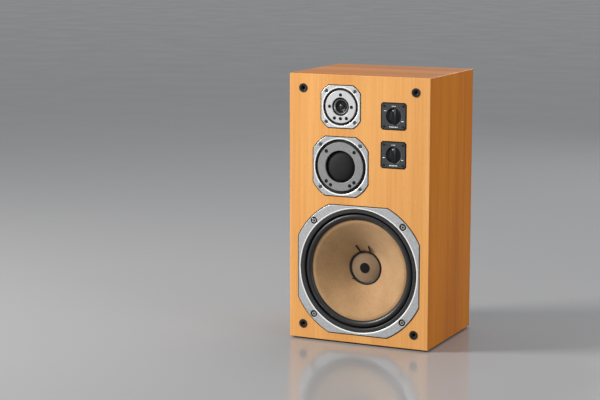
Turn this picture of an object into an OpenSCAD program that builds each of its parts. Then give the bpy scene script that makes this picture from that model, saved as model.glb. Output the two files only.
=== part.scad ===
// Three-way closed-box loudspeaker: mitred veneered cabinet, cone woofer,
// soft-dome midrange and tweeter, two level controls, rear binding posts.
// Frame: +Z up, front towards -Y, origin on the floor under the middle of the box.

/* [Cabinet] */
// Width of the box
cab_w = 350; // [345:1:380]
// Height of the box without its pads
cab_h = 627; // [620:1:660]
// Depth of the box
cab_d = 280; // [270:1:330]
// Thickness of the baffle and of the wrapped panels
panel_t = 20; // [20:1:22]
// Thickness of the inset rear panel
rear_t = 18; // [15:1:20]
// How far the rear panel sits inside the rear edge
rear_inset = 3; // [3:1:6]
// Thickness of the floor pads
pad_h = 3; // [2:1:5]
// Chamfer where two veneered faces meet
edge_c = 1.2; // [0.8:0.1:2]

/* [Driver positions] */
// Woofer centre above the underside of the box
woofer_rise = 172; // [168:1:173]
// Midrange centre below the top of the box
mid_drop = 213; // [210:1:216]
// Tweeter centre below the top of the box
tweeter_drop = 74; // [70:1:78]
// Midrange and tweeter centre, to the left of the middle
dome_offset = 45; // [40:1:50]

/* [Woofer] */
// Width across the flats of the woofer flange
woofer_flats = 303; // [302:1:306]
// Radius of the rounded corners of the woofer flange
woofer_corner_r = 168; // [167:1:170]
// Furthest travel of the cone each way
cone_travel = 6; // [2:1:6]

/* [Domes] */
// Width across the flats of the midrange flange
mid_flats = 137; // [136:1:141]
// Width across the flats of the tweeter flange
tweeter_flats = 97; // [96:1:101]

/* [Level controls] */
// Distance of the control plates from the middle
level_x = 86.5; // [80:0.5:90]
// Upper control below the top of the box
upper_drop = 90; // [85:1:95]
// Lower control below the top of the box
lower_drop = 178.5; // [172:0.5:182]
// Side of the square control plates
plate_side = 59; // [56:1:60]
// Radius of the knobs
knob_r = 18.2; // [17:0.1:18.4]

/* [Grille sockets] */
// Distance of the grille sockets from the middle
socket_x = 140; // [139:1:141]
// Grille sockets from the top and bottom of the box
socket_edge = 34; // [32:1:35]
// Radius of the hole that takes a grille peg
socket_r = 4; // [3.5:0.1:4.5]

/* [Terminals] */
// Height of the terminal cup above the floor
terminal_z = 112; // [105:1:120]
// Distance of each binding post from the middle
post_x = 19; // [18:0.5:21]
// Travel of a cap nut
nut_travel = 4; // [1:0.5:4]

/* [Hidden] */
$fn = 96;
eps = 0.01;

// The knob crests stand this far out of the baffle, and nothing stands out of the back.
knob_proud = 4;
front_y = -(cab_d - knob_proud) / 2;
back_y = front_y + cab_d;
top_z = pad_h + cab_h;
box_mid = pad_h + cab_h / 2;
inner_x = cab_w / 2 - panel_t;
inner_front = front_y + panel_t;
rear_outer = back_y - rear_inset;
rear_inner = rear_outer - rear_t;
inner_low = pad_h + panel_t;
inner_high = top_z - panel_t;
woofer_z = pad_h + woofer_rise;
mid_z = top_z - mid_drop;
tweeter_z = top_z - tweeter_drop;
upper_z = top_z - upper_drop;
lower_z = top_z - lower_drop;
level_centres = [[level_x, upper_z], [level_x, lower_z]];
socket_centres = [for (x = [-socket_x, socket_x], z = [pad_h + socket_edge, top_z - socket_edge]) [x, z]];

// Flanges: each is let into the baffle and stands a little proud of it.
flange_proud = 1.5;
woofer_flange_t = 8;
dome_flange_t = 6;
rebate_gap = 1.6;
woofer_sink = woofer_flange_t - flange_proud;
dome_sink = dome_flange_t - flange_proud;
woofer_body_r = 149.5;
mid_body_r = 66;
tweeter_body_r = 46;
mid_corner_r = 78.4;
tweeter_corner_r = 57.3;
woofer_bolt_off = 111.5;
mid_screw_off = 49.8;
tweeter_screw_off = 35.7;

// Woofer: radius and depth along the driver's axis, with 0 at the baffle's face.
ring_outer_r = 145.6;
ring_inner_r = 136.5;
seat_w = -8.8;
roll_mid_r = 127.2;
roll_r = 7.7;
cone_edge_r = 119.2;
cone_rim_r = 113;
lip_inner_r = 114;
cone_rim_w = -6.3;
cone_neck_r = 34.2;
cone_depth = 42;
cone_t = 1.2;
former_r = 32.8;
coil_r = 34.2;
motor_w = -81;
spider_w = -64;
spider_rise = 7;
cap_r = 36.7;
cap_apex_w = -40.5;
vent_r = 12.4;
// Outer face of the basket's wall: its lower and upper corner.
wall_low = [84, -62];
wall_high = [138.5, -19];

// Domes
mid_floor_w = -3;
mid_motor_w = -9;
mid_plate_r = 56.7;
mid_groove_r = 64;
mid_dome_r = 36.9;
mid_apex_w = 3;
mid_head_r = 3.9;
tweeter_floor_w = -2.5;
tweeter_motor_w = -8;
tweeter_plate_r = 37.7;
tweeter_groove_r = 43.6;
tweeter_dome_r = 11.4;
tweeter_apex_w = -2.2;
tweeter_head_r = 3.6;
mid_rivets = [[-24.3, -43.3], [24.3, -43.3]];
mid_plate_holes = concat([for (a = [45:90:315]) 49.5 * [cos(a), sin(a)]], mid_rivets);
tweeter_rivets = [[-15, -26.5], [15, -26.5]];
tweeter_plate_holes = concat([for (a = [0:90:270]) 27.4 * [cos(a), sin(a)]], tweeter_rivets);

// Level controls
plate_t = 2.5;
plate_sink = 1.5;
well_r = 19;
well_wall = 2;
well_floor = -9;
shaft_r = 3;
plate_screw_off = 23.5;

// Terminal cup
cup_w = 104;
cup_h = 72;
cup_in_w = 86;
cup_in_h = 54;
cup_wall = 2.5;
cup_floor = -27;
stud_r = 3;

// Shelf brace and crossover board
brace_z = 335;
brace_t = 16;
batten = 16;
felt_t = 10;
board_z = 250;
board_y = rear_inner - 14;
board_w = 160;
board_h = 100;

wood = [0.86, 0.62, 0.36];
bare_board = [0.72, 0.62, 0.48];
alloy = [0.83, 0.84, 0.86];
steel = [0.6, 0.61, 0.63];
ferrite = [0.2, 0.2, 0.21];
black = [0.06, 0.06, 0.07];
paper = [0.72, 0.58, 0.41];
plate_grey = [0.56, 0.56, 0.56];
slate = [0.27, 0.29, 0.31];

// ---------- helpers ----------

// Puts a child drawn in driver axes (x right, y up, z out of the baffle) on the baffle.
module on_baffle(x, z) { translate([x, front_y, z]) rotate([90, 0, 0]) children(); }
// The same for the rear panel: z points out of the back and x is to the right as seen from there.
module on_rear(x, z) { translate([x, rear_outer, z]) rotate([90, 0, 180]) children(); }
// A straight round rod from a to b.
module rod(a, b, r) {
    d = b - a;
    translate(a) rotate([0, acos(d.z / norm(d)), atan2(d.y, d.x)]) cylinder(r = r, h = norm(d));
}
module tube(outer, inner, low, high) {
    difference() {
        translate([0, 0, low]) cylinder(r = outer, h = high - low);
        translate([0, 0, low - 1]) cylinder(r = inner, h = high - low + 2);
    }
}
module square_block(side, low, high) {
    translate([-side / 2, -side / 2, low]) cube([side, side, high - low]);
}
// A square plate with its corners cut to a large radius, as the driver flanges are.
module flange_shape(flats, corner_r, low, high) {
    intersection() {
        square_block(flats, low, high);
        translate([0, 0, low]) cylinder(r = corner_r, h = high - low);
    }
}
// A rectangular plate with round corners.
module round_plate(w, h, r, low, high) {
    t = high - low;
    translate([-w / 2 + r, -h / 2, low]) cube([w - 2 * r, h, t]);
    translate([-w / 2, -h / 2 + r, low]) cube([w, h - 2 * r, t]);
    for (x = [-w / 2 + r, w / 2 - r], y = [-h / 2 + r, h / 2 - r])
        translate([x, y, low]) cylinder(r = r, h = t);
}
module at_each(points) { for (p = points) translate([p.x, p.y, 0]) children(); }
module at_corners(dx, dy) { for (x = [-dx, dx], y = [-dy, dy]) translate([x, y, 0]) children(); }
// Points on an arc about c, from angle a0 to a1.
function arc(c, r, a0, a1, n = 20) =
    [for (i = [0:n]) let (a = a0 + (a1 - a0) * i / n) c + r * [cos(a), sin(a)]];
function reversed(list) = [for (i = [len(list) - 1:-1:0]) list[i]];
// Radius of the sphere that a dome of this base radius and height is cut from.
function dome_sphere(base_r, height) = (base_r * base_r + height * height) / (2 * height);
// Half section of a thin dome whose outer face has its rim at rim_w and its top at apex_w.
function dome_band(base_r, rim_w, apex_w, t, from_r = 0) =
    let (
        s = dome_sphere(base_r, apex_w - rim_w),
        c = [0, apex_w - s],
        rim_a = acos(base_r / s),
        top_a = acos(from_r / s),
        top_in = acos(from_r / (s - t)),
        rim_in = acos(min(base_r, s - t) / (s - t))
    )
    concat(arc(c, s, rim_a, top_a), reversed(arc(c, s - t, rim_in, top_in)));
// Height of that dome's inner face at radius r.
function dome_under(base_r, rim_w, apex_w, t, r) =
    let (s = dome_sphere(base_r, apex_w - rim_w)) apex_w - s + sqrt(pow(s - t, 2) - r * r);
// Half section of a half-roll surround: a flat lip outside, the roll, and a flat lip inside.
function roll_band(mid_r, foot_w, r, t, outer_r, inner_r) = concat(
    [[outer_r, foot_w], [outer_r, foot_w + t]],
    arc([mid_r, foot_w], r, asin(t / r), 180 - asin(t / r)),
    [[inner_r, foot_w + t], [inner_r, foot_w]],
    reversed(arc([mid_r, foot_w], r - t, 0, 180))
);

// ---------- cabinet ----------

// Corner of a mitred section at u, side s: face edge, chamfer, then the inner end of the mitre.
function mitre(u, s, face) = [
    [u - s * edge_c, face],
    [u - s * edge_c / 2, face - edge_c / 2],
    [u - s * panel_t, face - panel_t]
];
// Section of a board with both ends mitred.
function mitred_section(span, face) =
    concat(reversed(mitre(-span / 2, -1, face)), mitre(span / 2, 1, face));

// A plate in the x-y plane, its outer face at z = 0 and all four edges mitred behind it.
module mitred_plate(w, h) {
    intersection() {
        rotate([90, 0, 0]) translate([0, 0, -h / 2]) linear_extrude(h) polygon(mitred_section(w, 0));
        rotate([90, 0, 90]) translate([0, 0, -w / 2]) linear_extrude(w) polygon(mitred_section(h, 0));
    }
}

// A panel of the wrap, outer face upwards at z = outer, mitred at both ends and at the front.
module wrap_panel(span, outer) {
    inside = outer - panel_t;
    intersection() {
        translate([0, back_y, 0]) rotate([90, 0, 0]) linear_extrude(cab_d)
            polygon(mitred_section(span, outer));
        rotate([90, 0, 90]) translate([0, 0, -span / 2]) linear_extrude(span)
            polygon(concat(reversed(mitre(front_y, -1, outer)), [
                [back_y - edge_c / 2, outer], [back_y, outer - edge_c / 2], [back_y, inside]
            ]));
    }
}

// Rebate and through hole for a driver let into the baffle, with pilot holes for its screws.
module driver_cutout(flats, corner_r, sink, body_r, screw_off, screw_r) {
    flange_shape(flats + 2 * rebate_gap, corner_r + rebate_gap, -sink, 5);
    translate([0, 0, -panel_t - 1]) cylinder(r = body_r + 0.8, h = panel_t + 2);
    at_corners(screw_off, screw_off) translate([0, 0, -panel_t - 1]) cylinder(r = screw_r, h = panel_t);
}

module level_cutout() {
    round_plate(plate_side + 3, plate_side + 3, 6.5, -plate_sink, 5);
    translate([0, 0, -panel_t - 1]) cylinder(r = well_r + well_wall + 0.6, h = panel_t + 2);
    at_corners(plate_screw_off, plate_screw_off) translate([0, 0, -14]) cylinder(r = 1.5, h = 14);
}

module socket_cutout() {
    translate([0, 0, -1]) cylinder(r = 10.5, h = 3);
    translate([0, 0, -18]) cylinder(r = 8.5, h = 20);
}

module front_baffle() {
    color(wood) difference() {
        on_baffle(0, box_mid) mitred_plate(cab_w, cab_h);
        on_baffle(0, woofer_z)
            driver_cutout(woofer_flats, woofer_corner_r, woofer_sink, woofer_body_r, woofer_bolt_off, 3);
        on_baffle(-dome_offset, mid_z)
            driver_cutout(mid_flats, mid_corner_r, dome_sink, mid_body_r, mid_screw_off, 2);
        on_baffle(-dome_offset, tweeter_z)
            driver_cutout(tweeter_flats, tweeter_corner_r, dome_sink, tweeter_body_r, tweeter_screw_off, 2);
        for (c = level_centres) on_baffle(c.x, c.y) level_cutout();
        for (c = socket_centres) on_baffle(c.x, c.y) socket_cutout();
    }
}

module top_panel() { color(wood) translate([0, 0, box_mid]) wrap_panel(cab_w, cab_h / 2); }
module bottom_panel() {
    color(wood) translate([0, 0, box_mid]) rotate([0, 180, 0]) wrap_panel(cab_w, cab_h / 2);
}
module right_side_panel() {
    color(wood) translate([0, 0, box_mid]) rotate([0, 90, 0]) wrap_panel(cab_h, cab_w / 2);
}
module left_side_panel() {
    color(wood) translate([0, 0, box_mid]) rotate([0, -90, 0]) wrap_panel(cab_h, cab_w / 2);
}

module rear_panel() {
    color(wood) difference() {
        translate([-inner_x, rear_inner, inner_low])
            cube([2 * inner_x, rear_t, inner_high - inner_low]);
        on_rear(0, terminal_z) {
            round_plate(cup_in_w + 2 * cup_wall + 1, cup_in_h + 2 * cup_wall + 1, 4, -rear_t - 1, 1);
            at_corners(47, 31) translate([0, 0, -14]) cylinder(r = 1.5, h = 16);
        }
    }
}

// Square glue battens in the four upright corners, above and below the brace.
module corner_battens() {
    low_top = brace_z - brace_t / 2;
    high_base = brace_z + brace_t / 2;
    for (x = [-inner_x, inner_x - batten], y = [inner_front, rear_inner - batten]) {
        color(bare_board) translate([x, y, inner_low]) cube([batten, batten, low_top - inner_low]);
        color(bare_board) translate([x, y, high_base]) cube([batten, batten, inner_high - high_base]);
    }
}

module shelf_brace() {
    color(bare_board) difference() {
        translate([-inner_x, inner_front, brace_z - brace_t / 2])
            cube([2 * inner_x, rear_inner - inner_front, brace_t]);
        translate([0, 10, brace_z]) round_plate(190, 120, 20, -brace_t, brace_t);
    }
}

// Felt on the sides, top, bottom and the upper part of the rear panel.
module damping_felt() {
    y0 = inner_front + batten + 2;
    y1 = rear_inner - batten - 2;
    low = [inner_low + felt_t, brace_z - brace_t / 2 - 2];
    high = [brace_z + brace_t / 2 + 2, inner_high - felt_t];
    color([0.55, 0.52, 0.47]) {
        for (x = [-inner_x, inner_x - felt_t], z = [low, high])
            translate([x, y0, z[0]]) cube([felt_t, y1 - y0, z[1] - z[0]]);
        for (z = [inner_low, inner_high - felt_t])
            translate([-inner_x, y0, z]) cube([2 * inner_x, y1 - y0, felt_t]);
        translate([-inner_x + batten + 2, rear_inner - felt_t, high[0]])
            cube([2 * (inner_x - batten - 2), felt_t, high[1] - high[0]]);
    }
}

module floor_pads() {
    for (x = [-1, 1], y = [front_y + 25, back_y - 25])
        color(black) translate([x * (cab_w / 2 - 25), y, 0]) cylinder(r = 12, h = pad_h);
}

// Plastic cups let flush into the baffle's corners, each with a collar round its mouth.
module grille_socket_cups() {
    for (c = socket_centres) on_baffle(c.x, c.y) color(black) difference() {
        union() {
            translate([0, 0, -1]) cylinder(r = 10.5, h = 1.8);
            translate([0, 0, -18]) cylinder(r = 8.5, h = 17.5);
        }
        translate([0, 0, -15]) cylinder(r = 6.4, h = 20);
    }
}

// Rubber bushes that grip the grille's pegs.
module grille_socket_bushes() {
    for (c = socket_centres) on_baffle(c.x, c.y) color(black) tube(6.4, socket_r, -15, -2);
}

// ---------- woofer ----------

// Depth of the cone's front face at radius r: nearly straight, steeper towards the neck.
function cone_w(r) = cone_rim_w - cone_depth * pow((cone_rim_r - r) / (cone_rim_r - cone_neck_r), 1.12);

module woofer_basket() {
    windows = 6;
    color(alloy) on_baffle(0, woofer_z) difference() {
        union() {
            difference() {
                flange_shape(woofer_flats, woofer_corner_r, -woofer_sink, flange_proud);
                translate([0, 0, -woofer_flange_t]) cylinder(r = 146, h = 20);
            }
            rotate_extrude() polygon([
                [149.5, -6.5], [147, -6.5], [147, seat_w], [136.5, seat_w], [135, -15],
                [80, -60], [78, spider_w], [68, spider_w], [68, motor_w + 4], [38, motor_w + 4],
                [38, motor_w], [76, motor_w], [76, -70], wall_low, wall_high, [149.5, -15]
            ]);
        }
        for (i = [0:windows - 1]) rotate([0, 0, i * 360 / windows]) translate([0, 0, -56])
            linear_extrude(32) polygon([[60, -22], [150, -56], [150, 56], [60, 22]]);
        at_corners(woofer_bolt_off, woofer_bolt_off) {
            translate([0, 0, -3.5]) cylinder(r = 8.2, h = 10);
            translate([0, 0, -10]) cylinder(r = 3.3, h = 10);
        }
    }
}

// Black clamping ring that holds the surround's outer lip down.
module woofer_gasket_ring() {
    color(black) on_baffle(0, woofer_z) rotate_extrude() polygon([
        [ring_inner_r, seat_w + 1], [ring_outer_r, seat_w + 1], [ring_outer_r, 0.6],
        [ring_outer_r - 0.8, 1.4], [ring_inner_r + 2.5, 1.4], [ring_inner_r, -1.5]
    ]);
}

module woofer_surround() {
    color(black) on_baffle(0, woofer_z) rotate_extrude()
        polygon(roll_band(roll_mid_r, seat_w, roll_r, 1, ring_outer_r, lip_inner_r));
}

// Corrugated centring disc between the former and the basket.
module woofer_spider() {
    steps = 60;
    inner = former_r;
    wave_out = 68;
    function wave(r) = spider_w + spider_rise * pow((wave_out - r) / (wave_out - inner), 1.5)
        + 1.5 * sin(360 * 4 * (wave_out - r) / (wave_out - inner));
    path = [for (i = [0:steps]) let (r = wave_out - (wave_out - inner) * i / steps) [r, wave(r)]];
    color([0.75, 0.6, 0.3]) on_baffle(0, woofer_z) rotate_extrude() polygon(concat(
        [[77, spider_w], [77, spider_w + 0.8]],
        [for (p = path) p + [0, 0.8]],
        reversed(path)
    ));
}

// A socket-head bolt with its head's underside at z = 0.
module socket_bolt(head_r, head_h, shank_r, length, hex_r) {
    difference() {
        union() {
            cylinder(r = head_r, h = head_h);
            translate([0, 0, -length]) cylinder(r = shank_r, h = length + eps);
        }
        translate([0, 0, head_h * 0.4]) cylinder(r = hex_r, h = head_h, $fn = 6);
    }
}

module woofer_bolts() {
    color(steel) on_baffle(0, woofer_z) at_corners(woofer_bolt_off, woofer_bolt_off)
        translate([0, 0, -3.5]) socket_bolt(4.6, 4.5, 3, 15, 2.7);
}

module woofer_cone() {
    steps = 24;
    span = cone_rim_r - cone_neck_r;
    front = [for (i = [0:steps]) let (r = cone_rim_r - span * i / steps) [r, cone_w(r)]];
    neck_w = cone_rim_w - cone_depth;
    color(paper) on_baffle(0, woofer_z) rotate_extrude() polygon(concat(
        [[cone_edge_r, cone_rim_w]],
        front,
        [[former_r, neck_w], [former_r, neck_w - 5], [cone_neck_r, neck_w - 5]],
        reversed([for (p = front) p - [0, cone_t * 1.15]]),
        [[cone_edge_r, cone_rim_w - cone_t]]
    ));
}

module woofer_dust_cap() {
    color(paper) on_baffle(0, woofer_z) rotate_extrude()
        polygon(dome_band(cap_r, cone_w(cap_r) + 0.8, cap_apex_w, 0.7, vent_r));
}

module woofer_cap_vent() {
    color(black) on_baffle(0, woofer_z) translate([0, 0, cap_apex_w - 1.5])
        cylinder(r = vent_r - 0.05, h = 1.2);
}

// Black bead that covers the joint between dust cap and cone.
module woofer_cap_ring() {
    low = cone_w(cap_r) + 1;
    color(black) on_baffle(0, woofer_z) rotate_extrude() polygon([
        [35.5, low + 0.4], [36.8, low], [38.4, cone_w(38.4) + 0.2], [40.4, cone_w(40.4) + 0.2],
        [40.1, low + 2.3], [39, low + 3], [37.3, low + 2.9], [36, low + 1.9]
    ]);
}

module woofer_voice_coil() {
    on_baffle(0, woofer_z) {
        color([0.7, 0.5, 0.3]) tube(former_r, former_r - 0.4, motor_w - 11, cone_rim_w - cone_depth + 0.5);
        color([0.72, 0.4, 0.2]) tube(coil_r, former_r, motor_w - 11, motor_w + 3);
    }
}

// The two leads where they lie on the front of the cone, each from the cap ring to its eyelet.
lead_paths = [[[-12.9, 39.9], [-18.8, 52.6]], [[12.3, 40.2], [12.4, 53.4]]];
module woofer_lead_stubs() {
    lift = 2.1;
    color(black) on_baffle(0, woofer_z) for (p = lead_paths) {
        a = [p[0].x, p[0].y, cone_w(norm(p[0])) + lift];
        b = [p[1].x, p[1].y, cone_w(norm(p[1])) + lift];
        rod(a, b, 1.5);
    }
}

// ---------- swept wires ----------

function smooth_at(p, i, t) =
    let (
        a = p[max(i - 1, 0)], b = p[i], c = p[i + 1], d = p[min(i + 2, len(p) - 1)]
    )
    0.5 * (2 * b + (c - a) * t + (2 * a - 5 * b + 4 * c - d) * t * t
        + (3 * b - a - 3 * c + d) * t * t * t);
function smooth_path(p, n) =
    concat([for (i = [0:len(p) - 2], k = [0:n - 1]) smooth_at(p, i, k / n)], [p[len(p) - 1]]);
function unit(v) = v / norm(v);
function tangent_at(p, i) = unit(p[min(i + 1, len(p) - 1)] - p[max(i - 1, 0)]);
// A frame that is carried along the path without twisting.
function carried(p, i, side) =
    i == len(p) ? [] :
    let (t = tangent_at(p, i), s = unit(side - (side * t) * t))
    concat([s], carried(p, i + 1, s));
module swept_wire(points, r, sides = 8, n = 4) {
    path = smooth_path(points, n);
    t0 = tangent_at(path, 0);
    start = abs(t0.z) < 0.9 ? cross(t0, [0, 0, 1]) : cross(t0, [1, 0, 0]);
    frame = carried(path, 0, start);
    rings = len(path);
    verts = [
        for (i = [0:rings - 1]) let (u = frame[i], v = cross(tangent_at(path, i), u))
        for (k = [0:sides - 1]) let (a = 360 * k / sides) path[i] + r * (cos(a) * u + sin(a) * v)
    ];
    walls = [
        for (i = [0:rings - 2], k = [0:sides - 1])
        let (m = (k + 1) % sides, a = i * sides)
        [a + k, a + m, a + sides + m, a + sides + k]
    ];
    polyhedron(
        verts,
        concat([[for (k = [sides - 1:-1:0]) k]], walls, [[for (k = [0:sides - 1]) (rings - 1) * sides + k]]),
        convexity = 10
    );
}

// Flexible leads behind the cone, from its eyelets through a window to the terminal strip.
module woofer_flex_leads() {
    color([0.5, 0.3, 0.2]) on_baffle(0, woofer_z) for (s = [-1, 1]) swept_wire([
        [s * 14, 54, -43], [s * 15, 58, -48], [s * 18, 76, -52], [s * 21, 96, -50],
        [s * 21, 103, -45.5]
    ], 0.8);
}

// ---------- midrange and tweeter ----------

// Alloy frame of a dome driver: flange, sunk floor ring, screw holes.
module dome_frame(flats, corner_r, groove_r, body_r, floor_w, back_w, inner_r, screw_off, holes) {
    difference() {
        union() {
            difference() {
                flange_shape(flats, corner_r, -dome_sink, flange_proud);
                translate([0, 0, floor_w]) cylinder(r = groove_r, h = 10);
                translate([0, 0, -10]) cylinder(r = groove_r - 5, h = 20);
            }
            tube(body_r, inner_r, back_w, floor_w);
        }
        at_corners(screw_off, screw_off) {
            translate([0, 0, -1.5]) cylinder(r = 4.6, h = 5);
            translate([0, 0, -6]) cylinder(r = 2.2, h = 10);
        }
        at_each(holes) translate([0, 0, back_w - 1]) cylinder(r = 1.6, h = 10);
    }
}

// Round front plate with counterbored screw holes and a chamfered mouth.
module dome_faceplate(r, floor_w, top_w, mouth_r, holes, head_r) {
    difference() {
        rotate_extrude() polygon([
            [mouth_r + 1.2, floor_w], [r, floor_w], [r, top_w - 0.6], [r - 0.6, top_w],
            [mouth_r + 1, top_w], [mouth_r, top_w - 1]
        ]);
        at_each(holes) {
            translate([0, 0, top_w - 1.5]) cylinder(r = head_r + 0.3, h = 3);
            translate([0, 0, floor_w - 1]) cylinder(r = 1.6, h = 10);
        }
    }
}

module mid_frame() {
    color(alloy) on_baffle(-dome_offset, mid_z)
        dome_frame(mid_flats, mid_corner_r, mid_groove_r, mid_body_r, mid_floor_w, mid_motor_w, 46,
                   mid_screw_off, mid_plate_holes);
}
module mid_faceplate() {
    color(plate_grey) on_baffle(-dome_offset, mid_z)
        dome_faceplate(mid_plate_r, mid_floor_w, 2.5, 37.3, mid_plate_holes, mid_head_r);
}
module mid_surround() {
    color(black) on_baffle(-dome_offset, mid_z) rotate_extrude()
        polygon(roll_band(39.5, mid_motor_w, 2.4, 0.5, 45.7, mid_dome_r));
}
module mid_dome() {
    color(black) on_baffle(-dome_offset, mid_z) rotate_extrude()
        polygon(dome_band(mid_dome_r, mid_motor_w + 0.8, mid_apex_w, 0.5));
}
module mid_voice_coil() {
    top = dome_under(mid_dome_r, mid_motor_w + 0.8, mid_apex_w, 0.5, 36.8) - 0.03;
    on_baffle(-dome_offset, mid_z) {
        color(alloy) tube(36.8, 36.5, mid_motor_w - 8, top);
        color([0.72, 0.4, 0.2]) tube(37.5, 36.8, mid_motor_w - 7, mid_motor_w - 1);
    }
}
// Sealed cup that loads the back of the dome through the hollow pole.
module mid_rear_chamber() {
    color(black) on_baffle(-dome_offset, mid_z) difference() {
        translate([0, 0, -75]) cylinder(r = 50, h = 33);
        translate([0, 0, -73]) cylinder(r = 48, h = 32);
    }
}

module tweeter_frame() {
    color(alloy) on_baffle(-dome_offset, tweeter_z)
        dome_frame(tweeter_flats, tweeter_corner_r, tweeter_groove_r, tweeter_body_r, tweeter_floor_w,
                   tweeter_motor_w, 18.4, tweeter_screw_off, tweeter_plate_holes);
}
module tweeter_faceplate() {
    color(alloy) on_baffle(-dome_offset, tweeter_z)
        dome_faceplate(tweeter_plate_r, tweeter_floor_w, 2, 21.1, tweeter_plate_holes, tweeter_head_r);
}
// Conical ring that clamps the surround and leads into the dome.
module tweeter_bezel() {
    color(steel) on_baffle(-dome_offset, tweeter_z) rotate_extrude() polygon([
        [14.8, tweeter_motor_w + 0.5], [18.2, tweeter_motor_w + 0.5], [18.2, -0.4],
        [17.4, 0.2], [16.6, 0.2], [14.8, -2]
    ]);
}
module tweeter_surround() {
    color(black) on_baffle(-dome_offset, tweeter_z) rotate_extrude()
        polygon(roll_band(13.05, tweeter_motor_w, 1.45, 0.4, 17.8, tweeter_dome_r));
}
module tweeter_dome() {
    color(black) on_baffle(-dome_offset, tweeter_z) rotate_extrude()
        polygon(dome_band(tweeter_dome_r, tweeter_motor_w + 0.5, tweeter_apex_w, 0.35));
}
module tweeter_voice_coil() {
    top = dome_under(tweeter_dome_r, tweeter_motor_w + 0.5, tweeter_apex_w, 0.35, 11.3) - 0.03;
    on_baffle(-dome_offset, tweeter_z) {
        color(alloy) tube(11.3, 11.05, tweeter_motor_w - 5.5, top);
        color([0.72, 0.4, 0.2]) tube(11.8, 11.3, tweeter_motor_w - 5, tweeter_motor_w - 0.6);
    }
}

// Black rings lying in the grooves round both faceplates and round the tweeter's bezel.
module groove_rings() {
    color(black) {
        on_baffle(-dome_offset, mid_z)
            tube(mid_groove_r - 0.3, mid_plate_r + 0.3, mid_floor_w, mid_floor_w + 0.8);
        on_baffle(-dome_offset, tweeter_z) {
            tube(tweeter_groove_r - 0.3, tweeter_plate_r + 0.3, tweeter_floor_w, tweeter_floor_w + 0.8);
            tube(20.9, 18.5, tweeter_floor_w, tweeter_floor_w + 0.8);
        }
    }
}

// ---------- motors: steel top plate, ferrite ring, steel yoke with its pole ----------

// Each row: x, z, front of the top plate, its thickness, magnet thickness, back plate
// thickness, outer radius, radius of the gap, magnet bore, pole radius, pole vent radius.
motors = [
    [0, woofer_z, motor_w, 8, 20, 10, 76, 35, 44, 31.8, 8],
    [-dome_offset, mid_z, mid_motor_w, 7, 18, 8, 58, 38.4, 45, 36, 12],
    [-dome_offset, tweeter_z, tweeter_motor_w, 5, 14, 6, 36, 12.4, 17, 10.5, 3]
];
module driver_top_plates() {
    color(steel) for (m = motors) on_baffle(m[0], m[1]) tube(m[6], m[7], m[2] - m[3], m[2]);
}
module driver_magnets() {
    color(ferrite) for (m = motors) on_baffle(m[0], m[1])
        tube(m[6] + 3, m[8], m[2] - m[3] - m[4], m[2] - m[3]);
}
module driver_yokes() {
    color(steel) for (m = motors) on_baffle(m[0], m[1]) {
        back = m[2] - m[3] - m[4];
        difference() {
            union() {
                translate([0, 0, back - m[5]]) cylinder(r = m[6], h = m[5]);
                translate([0, 0, back - 1]) cylinder(r = m[9], h = m[2] - back + 0.5);
            }
            translate([0, 0, back - m[5] - 1]) cylinder(r = m[10], h = 100);
        }
    }
}

// Tag strips: on a basket spoke, on the midrange's cup and on the tweeter's yoke.
module tag_strip(length) {
    translate([-length / 2, -6, 0]) cube([length, 12, 2]);
    for (x = [-length / 2 + 5, length / 2 - 5]) translate([x - 2, -3, 2 - eps]) cube([4, 6, 5]);
}
module terminal_strips() {
    // Slope of the basket's wall, and a point just clear of its outer face.
    along = wall_high - wall_low;
    wall_a = atan2(along.y, along.x);
    wall_p = wall_low + along * 21 / along.x + 0.15 * [sin(wall_a), -cos(wall_a)];
    color([0.5, 0.3, 0.15]) {
        on_baffle(0, woofer_z) translate([0, wall_p.x, wall_p.y]) rotate([wall_a, 0, 0])
            mirror([0, 0, 1]) tag_strip(54);
        on_baffle(-dome_offset, mid_z) translate([0, 0, -75]) mirror([0, 0, 1]) tag_strip(34);
        on_baffle(-dome_offset, tweeter_z) translate([0, 14, tweeter_motor_w - 25])
            mirror([0, 0, 1]) tag_strip(34);
    }
}

module driver_screws() {
    color(steel) {
        on_baffle(-dome_offset, mid_z) at_corners(mid_screw_off, mid_screw_off)
            translate([0, 0, -1.5]) socket_bolt(3.7, 2.6, 2, 16, 1.9);
        on_baffle(-dome_offset, tweeter_z) at_corners(tweeter_screw_off, tweeter_screw_off)
            translate([0, 0, -1.5]) socket_bolt(3.7, 2.6, 2, 16, 1.9);
    }
}
module faceplate_screws() {
    color(black) {
        on_baffle(-dome_offset, mid_z) at_each(mid_plate_holes)
            translate([0, 0, 1]) socket_bolt(mid_head_r, 1.9, 1.5, 9.5, 1.9);
        on_baffle(-dome_offset, tweeter_z) at_each(tweeter_plate_holes)
            translate([0, 0, 0.5]) socket_bolt(tweeter_head_r, 1.9, 1.5, 8, 1.7);
    }
}

// ---------- level controls ----------

module level_plates() {
    for (c = level_centres) on_baffle(c.x, c.y) color(slate) difference() {
        union() {
            round_plate(plate_side, plate_side, 5, -plate_sink, plate_t - plate_sink);
            translate([0, 0, well_floor - 2]) cylinder(r = well_r + well_wall, h = 10);
        }
        translate([0, 0, well_floor]) cylinder(r = well_r, h = 20);
        translate([0, 0, plate_t - plate_sink - 1]) cylinder(r1 = well_r, r2 = well_r + 2, h = 2);
        translate([0, 0, well_floor - 3]) cylinder(r = 5, h = 10);
        at_corners(plate_screw_off, plate_screw_off) translate([0, 0, -5]) cylinder(r = 1.6, h = 10);
    }
}

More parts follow.
